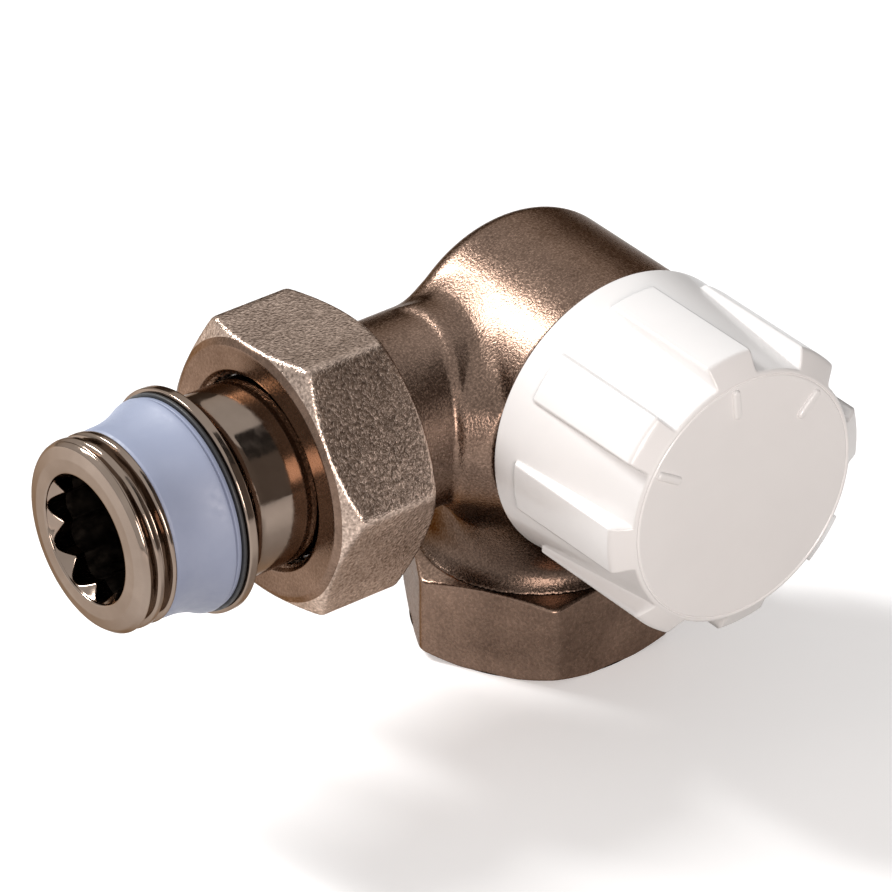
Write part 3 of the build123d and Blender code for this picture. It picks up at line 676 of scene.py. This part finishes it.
mark_z = AXIS_H + radial * np.sin(MARK_ANGLES) + sideways * np.cos(MARK_ANGLES)
bars = np.stack(np.broadcast_arrays(mark_x, -(WHEEL_FACE + lift), mark_z), -1)
bar_count, bar_rows, bar_cols = bars.shape[:3]
shift = bar_rows * bar_cols * np.arange(bar_count)[:, None, None]
sides = (ring_faces(bar_rows, bar_cols, False) + shift).reshape(-1, 4)
rim = np.arange(bar_cols)
caps = (np.stack([rim[::-1], (bar_rows - 1) * bar_cols + rim]) + shift).reshape(-1, bar_cols)
bar_points = bars.reshape(-1, 3)
face_marks = mesh_object(
    "face_marks", bar_points, outward(bar_points, [sides, caps]), "handwheel")

# %% [markdown]
# ## Finishes
#
# Every finish below is a small node tree. A few helpers keep them short: one makes the material, one adds
# noise in the object's own millimetres, and the others turn a noise value into a colour, a new range or a
# bump. Noise in object space needs no unwrapping and stays with the piece when it moves.


# %% Material helpers
def material(name, build):
    """A new node material: build receives the tree and its Principled shader."""
    mat = bpy.data.materials.new(name)
    mat.use_nodes = True
    tree = mat.node_tree
    build(tree, tree.nodes["Principled BSDF"])
    print("finish", name, len(tree.nodes), "nodes")
    return mat


def noise(tree, scale, detail=2.0, rough=0.5):
    """Noise in object space; scale counts features per metre."""
    where = tree.nodes.new("ShaderNodeTexCoord")
    tex = tree.nodes.new("ShaderNodeTexNoise")
    tex.inputs["Scale"].default_value = scale
    tex.inputs["Detail"].default_value = detail
    tex.inputs["Roughness"].default_value = rough
    tree.links.new(where.outputs["Object"], tex.inputs["Vector"])
    return tex.outputs["Fac"]


def ramp(tree, value, low, high, colours):
    """Maps a value between low and high onto a run of colours."""
    node = tree.nodes.new("ShaderNodeValToRGB")
    stops = node.color_ramp.elements
    while len(stops) < len(colours):
        stops.new(0.5)
    for stop, spot, colour in zip(stops, np.linspace(low, high, len(colours)), colours):
        stop.position = float(spot)
        stop.color = (*colour, 1.0)
    tree.links.new(value, node.inputs["Fac"])
    return node.outputs["Color"]


def remap(tree, value, from_low, from_high, to_low, to_high):
    """Linear change of range, clamped."""
    node = tree.nodes.new("ShaderNodeMapRange")
    node.inputs["From Min"].default_value = from_low
    node.inputs["From Max"].default_value = from_high
    node.inputs["To Min"].default_value = to_low
    node.inputs["To Max"].default_value = to_high
    tree.links.new(value, node.inputs["Value"])
    return node.outputs["Result"]


def mixed(tree, blend, factor, a, b):
    """Mix of two colours; the factor is a number or another node's output."""
    node = tree.nodes.new("ShaderNodeMix")
    node.data_type = "RGBA"
    node.blend_type = blend
    if isinstance(factor, float):
        node.inputs["Factor"].default_value = factor
    else:
        tree.links.new(factor, node.inputs["Factor"])
    tree.links.new(a, node.inputs["A"])
    tree.links.new(b, node.inputs["B"])
    return node.outputs["Result"]


def bump(tree, shader, height, strength, depth):
    """Bump from a height value; depth is in metres."""
    node = tree.nodes.new("ShaderNodeBump")
    node.inputs["Strength"].default_value = strength
    node.inputs["Distance"].default_value = depth
    tree.links.new(height, node.inputs["Height"])
    tree.links.new(node.outputs["Normal"], shader.inputs["Normal"])


# %% [markdown]
# ## Nickel plate, brass and steel
#
# The metal looks like nickel plate. The forging seems shot blasted, so it is satin with a fine sparkle. Low
# on the leg its colour is darkened as painted shade, for the shade under the barrel and between the nut and
# the wheel. The nut has a coarser grain, turned faces are smoother, and the tailpiece is bright. One recipe
# gives
# them all: a colour that drifts and sparkles, uneven roughness and a bump, each at its own scale.


# %% Metal recipe
def darken_as_shade(tree, colour, low, high, share):
    """Painted shade: the colour times a factor that rises with height, from a share at the low height to 1
    at the high.
    """
    where = tree.nodes.new("ShaderNodeTexCoord")
    split = tree.nodes.new("ShaderNodeSeparateXYZ")
    tree.links.new(where.outputs["Object"], split.inputs["Vector"])
    factor = remap(tree, split.outputs["Z"], low * MM, high * MM, share, 1.0)
    return mixed(tree, "MULTIPLY", 1.0, colour, factor)


def plated(dark, light, smooth_end, rough_end, grain_scale, speckle, grain_depth, painted_shade=None):
    """Plate: colour from broad noise plus a share of fine grain; roughness and bump from the grain.

    Painted shade, when given, is two heights and the share of the tone that is left at the lower one; it
    darkens the colour low down.
    """
    def build(tree, shader):
        drift = noise(tree, 120, 3.0, 0.6)
        grain = noise(tree, grain_scale, 2.0, 0.6)
        both = tree.nodes.new("ShaderNodeMath")
        both.operation = "MULTIPLY_ADD"
        both.inputs[1].default_value = speckle
        tree.links.new(grain, both.inputs[0])
        tree.links.new(drift, both.inputs[2])
        middle, reach = 0.5 + 0.5 * speckle, 0.2 + 0.2 * speckle
        sparks = np.outer((0.45, 0.9, 1.6), np.array(light) - dark)
        tones = [dark, *(np.array(dark) + sparks).clip(0, 0.9)]
        spread_value = remap(tree, both.outputs["Value"], middle - reach, middle + reach, 0, 1)
        tint = ramp(tree, spread_value, 0, 1, tones)
        # painted shade: the colour darkens towards the bottom of the piece
        if painted_shade:
            tint = darken_as_shade(tree, tint, *painted_shade)
        tree.links.new(tint, shader.inputs["Base Color"])
        tree.links.new(remap(tree, grain, 0.35, 0.65, smooth_end, rough_end), shader.inputs["Roughness"])
        bump(tree, shader, grain, 1.0, grain_depth)
        shader.inputs["Metallic"].default_value = 1.0
        shader.inputs["Specular Tint"].default_value = (0.40, 0.34, 0.30, 1.0)
    return build


# %% Metals
# the last three numbers paint shade on the leg: below 26 mm the tone falls, to half at 14 mm and lower
shot_nickel = material("shot_blasted_nickel", plated(
    (0.075, 0.048, 0.035), (0.225, 0.152, 0.115), 0.18, 0.30, 4200, 2.0, 0.00004, (14, 26, 0.5)))
milled_nickel = material("milled_nickel", plated(
    (0.14, 0.101, 0.080), (0.57, 0.444, 0.367), 0.16, 0.27, 2900, 2.0, 0.0001))
turned_nickel = material("turned_nickel", plated(
    (0.094, 0.061, 0.045), (0.205, 0.137, 0.102), 0.20, 0.30, 3000, 0.8, 0.00001))
bright_nickel = material("bright_nickel", plated(
    (0.215, 0.166, 0.133), (0.26, 0.204, 0.166), 0.07, 0.15, 900, 0.2, 0.000004))
# painted shade: the deep bore gets a near-black colour for the shade inside it
bore_painted_shade = material("bore_painted_shade", plated(
    (0.03, 0.024, 0.02), (0.05, 0.04, 0.032), 0.30, 0.50, 900, 0.5, 0.00001))
turned_brass = material("turned_brass", plated(
    (0.56, 0.38, 0.16), (0.66, 0.47, 0.22), 0.18, 0.30, 1500, 0.5, 0.00001))
plain_steel = material("plain_steel", plated(
    (0.38, 0.38, 0.38), (0.48, 0.48, 0.47), 0.20, 0.34, 1500, 0.5, 0.00001))

# %% [markdown]
# ## Plastics and rubber
#
# The handwheel is a glossy white moulding with a thin polished skin, the seal a duller pale blue one, and
# the rings are black rubber. Mouldings are never one flat colour: a faint cloud and a fine skin texture
# keep the highlights from looking painted on.


# %% Mouldings
def moulded(dark, light, rough_low, rough_high, grain, strength, coat=0.0):
    """Moulded plastic: faint mottling, a fine skin texture and a thin coat where the mould was polished."""
    def build(tree, shader):
        cloud = noise(tree, 160, 3.0)
        tree.links.new(ramp(tree, cloud, 0.3, 0.7, [dark, light]), shader.inputs["Base Color"])
        skin = noise(tree, grain, 3.0, 0.6)
        tree.links.new(remap(tree, skin, 0.35, 0.65, rough_low, rough_high), shader.inputs["Roughness"])
        bump(tree, shader, skin, strength, 0.00005)
        shader.inputs["Coat Weight"].default_value = coat
        shader.inputs["Coat Roughness"].default_value = 0.12
    return build


white_moulding = material("white_moulding", moulded(
    (0.80, 0.785, 0.775), (0.82, 0.805, 0.795), 0.28, 0.33, 900, 0.01, 0.25))
blue_moulding = material("blue_moulding", moulded(
    (0.26, 0.295, 0.405), (0.30, 0.335, 0.445), 0.42, 0.58, 1200, 0.08))
black_rubber = material("black_rubber", moulded(
    (0.010, 0.010, 0.011), (0.022, 0.022, 0.024), 0.42, 0.60, 1500, 0.12))

# %% [markdown]
# ## Who wears what
#
# Pieces made above and CAD pieces inside the valve both get a finish. Two pieces have a second one: the deep
# bore of the tailpiece is dull and painted near black as shade, and the nut's front is as smooth as the
# other turned faces.
# The faces are picked by where their centres lie, so no selection by hand is needed.

# %% Give every piece its finish
finish = {
    shot_nickel: [forged_body],
    milled_nickel: [union_thread, head_collar, hex_nut],
    turned_nickel: [inlet_socket, inlet_thread],
    bright_nickel: [union_tail],
    white_moulding: [grip_wheel, face_marks],
    blue_moulding: [seal_sleeve],
    black_rubber: [black_washer],
}
cad_finish = {
    turned_brass: ["bonnet", "gland_nut", "disc_holder", "disc_nut", "thrust_pin"],
    plain_steel: ["stem", "spring_retainer", "stem_clip", "return_spring", "nut_retaining_ring"],
    black_rubber: ["bonnet_o_ring", "stem_o_ring", "valve_disc", "tail_o_ring"],
}
for mat, names in cad_finish.items():
    finish.setdefault(mat, []).extend(frame["nodes"][n] for n in names)
for mat, objs in finish.items():
    for obj in objs:
        obj.data.materials.clear()
        obj.data.materials.append(mat)
print("finished", sum(len(v) for v in finish.values()), "pieces")


# %% Second finishes
def second_finish(obj, mat, chosen):
    """Gives a second material to the faces picked by their centres: distance along the outlet and off it."""
    centre = np.empty(3 * len(obj.data.polygons), dtype=np.float32)
    obj.data.polygons.foreach_get("center", centre)
    x, y, z = centre.reshape(-1, 3).T / MM
    obj.data.materials.append(mat)
    pick = chosen(-x, np.hypot(y, z - AXIS_H)).astype(np.int32)
    obj.data.polygons.foreach_set("material_index", pick)
    print(obj.name, int(pick.sum()), "faces in", mat.name)


# the deep bore gets the painted shade
second_finish(union_tail, bore_painted_shade, lambda t, off: (off < KEY_R + 0.02) & (t < TAIL_END - 2.4))
second_finish(hex_nut, turned_nickel, lambda t, off: t > NUT_FRONT - 0.38)

# %% [markdown]
# ## Floor and world
#
# The photograph is a cut-out on white. The white background does not come from more light on the part: the
# floor and the world ask what kind of ray is looking. To the camera, and to rays that metal mirrors, they
# are white; to rays that carry light they are dimmer. The floor still takes the part's shadow.


# %% White for the eye
def shown_rays(tree):
    """One for rays that show the surroundings: from the camera, mirrored, or through something clear."""
    ray = tree.nodes.new("ShaderNodeLightPath")
    total = ray.outputs["Is Camera Ray"]
    for kind in ("Is Glossy Ray", "Is Transmission Ray"):
        either = tree.nodes.new("ShaderNodeMath")
        either.operation = "MAXIMUM"
        tree.links.new(total, either.inputs[0])
        tree.links.new(ray.outputs[kind], either.inputs[1])
        total = either.outputs["Value"]
    return total


def paper(tree, shader):
    """Matte paper with a very faint cloudiness: white to the eye, mid grey to the light it bounces."""
    tint = noise(tree, 6, 2.0)
    white = ramp(tree, tint, 0.3, 0.7, [(0.93, 0.93, 0.93), (0.96, 0.96, 0.96)])
    grey = ramp(tree, tint, 0.3, 0.7, [(0.23, 0.21, 0.19), (0.27, 0.25, 0.23)])
    shown = shown_rays(tree)
    tree.links.new(mixed(tree, "MIX", shown, grey, white), shader.inputs["Base Color"])
    shader.inputs["Roughness"].default_value = 0.9
    shader.inputs["Emission Color"].default_value = (1, 1, 1, 1)
    tree.links.new(remap(tree, shown, 0, 1, 0, 0.22), shader.inputs["Emission Strength"])


def flat_sheet(name, corners, mat):
    """A flat piece of the studio, with its corners in millimetres."""
    mesh = bpy.data.meshes.new(name)
    mesh.from_pydata((np.array(corners, float) * MM).tolist(), [], [tuple(range(len(corners)))])
    mesh.materials.append(mat)
    obj = bpy.data.objects.new(name, mesh)
    bpy.context.scene.collection.objects.link(obj)
    return obj


# %% Floor
HALF_FLOOR, FLOOR_Z = 2000, MOUTH - 0.05
floor_corners = [(i * HALF_FLOOR, j * HALF_FLOOR, FLOOR_Z) for i, j in ((-1, -1), (1, -1), (1, 1), (-1, 1))]
flat_sheet("floor", floor_corners, material("studio_paper", paper))
print("floor at", FLOOR_Z, "mm")

# %% World
world = bpy.data.worlds.new("studio")
bpy.context.scene.world = world
world.use_nodes = True
back = world.node_tree.nodes["Background"]
back.inputs["Color"].default_value = (1, 1, 1, 1)
world_level = remap(world.node_tree, shown_rays(world.node_tree), 0, 1, 0.32, 1.0)
world.node_tree.links.new(world_level, back.inputs["Strength"])
print("world", len(world.node_tree.nodes), "nodes")

# %% [markdown]
# ## Lamps
#
# A narrow softbox stands behind and above the part, and a wide, slightly warm one in front on the left.
# Both are area lamps, because a small lamp would give hard shadows and tiny highlights on polished metal.


# %% Lamps
FOCUS = (-20, -10, 28)


def softbox(name, toward, distance_mm, size_mm, watts, tint=(1, 1, 1)):
    """A rectangular area lamp at a distance from the part in a given direction, facing it."""
    lamp = bpy.data.lights.new(name, "AREA")
    lamp.shape = "RECTANGLE"
    lamp.size, lamp.size_y = (v * MM for v in size_mm)
    lamp.energy = watts
    lamp.color = tint
    obj = bpy.data.objects.new(name, lamp)
    bpy.context.scene.collection.objects.link(obj)
    way = Vector(toward).normalized()
    obj.location = Vector(FOCUS) * MM + way * distance_mm * MM
    obj.rotation_euler = (-way).to_track_quat("-Z", "Y").to_euler()
    print("lamp", name, watts, "W")


softbox("key", (-0.34, 0.66, 0.67), 480, (70, 200), 2.3)
softbox("fill", (-0.45, -0.82, 0.35), 560, (220, 220), 2.1, (1.0, 0.91, 0.87))

# %% [markdown]
# ## Dark boards
#
# Polished metal in an all-white room looks like chalk. A photographer stands dark boards beside the part,
# so that the metal has something dark to mirror. These boards are seen only in reflections: they throw no
# shadow and take no diffuse light away. The small black card is there for the darkest bands.


# %% Boards
BOARD_X, CARD_X = 230, 225


def dark_board(name, corners, mat):
    """A flat board that is seen only in reflections."""
    obj = flat_sheet(name, corners, mat)
    obj.visible_camera = False
    obj.visible_diffuse = False
    obj.visible_shadow = False
    print("board", name, len(corners), "corners")


def board_finish(name, dark, light):
    """Matte board of one of two greys."""
    return material(name, moulded(dark, light, 0.7, 0.9, 40, 0.0))


board_grey = board_finish("board_grey", (0.20, 0.175, 0.155), (0.25, 0.22, 0.20))
board_black = board_finish("board_black", (0.012, 0.011, 0.010), (0.018, 0.016, 0.015))
right_outline = [(-1200, 0), (320, 0), (320, 170), (60, 170), (-180, 450), (-1200, 1300)]
dark_board("right_board", [(BOARD_X, y, z) for y, z in right_outline], board_grey)
rear_outline = [(20, 0), (BOARD_X, 0), (BOARD_X, 170), (20, 170)]
dark_board("rear_board", [(x, 320, z) for x, z in rear_outline], board_grey)
card_outline = [(-20, 420), (-20, 560), (-300, 560), (-300, 375)]
dark_board("black_card", [(CARD_X, y, z) for y, z in card_outline], board_black)

# %% [markdown]
# ## Camera
#
# The camera was solved from points on the photograph: the hexagon, the nut, the wheel's face and rim, and
# the tailpiece end. It is a long lens well away from the part, to the left of its front and above.

# %% Camera
CAM_AZ, CAM_EL, CAM_DIST, CAM_F, FRAME_PX = -37.45, 32.11, 758.36, 7553.68, 892
CAM_TARGET = np.array([-32.01, -25.99, 44.75])
az, el = math.radians(CAM_AZ), math.radians(CAM_EL)
back_dir = np.array([math.sin(az) * math.cos(el), -math.cos(az) * math.cos(el), math.sin(el)])
cam_data = bpy.data.cameras.new("camera")
cam_data.sensor_fit = "HORIZONTAL"
cam_data.sensor_width = 36.0
cam_data.lens = CAM_F * cam_data.sensor_width / FRAME_PX
cam_data.clip_end = 10.0
camera = bpy.data.objects.new("camera", cam_data)
bpy.context.scene.collection.objects.link(camera)
camera.location = (CAM_TARGET + back_dir * CAM_DIST) * MM
camera.rotation_euler = (math.radians(90) - el, 0.0, az)
bpy.context.scene.camera = camera
bpy.context.scene.view_settings.view_transform = "Standard"
print("lens", round(cam_data.lens, 1), "mm")
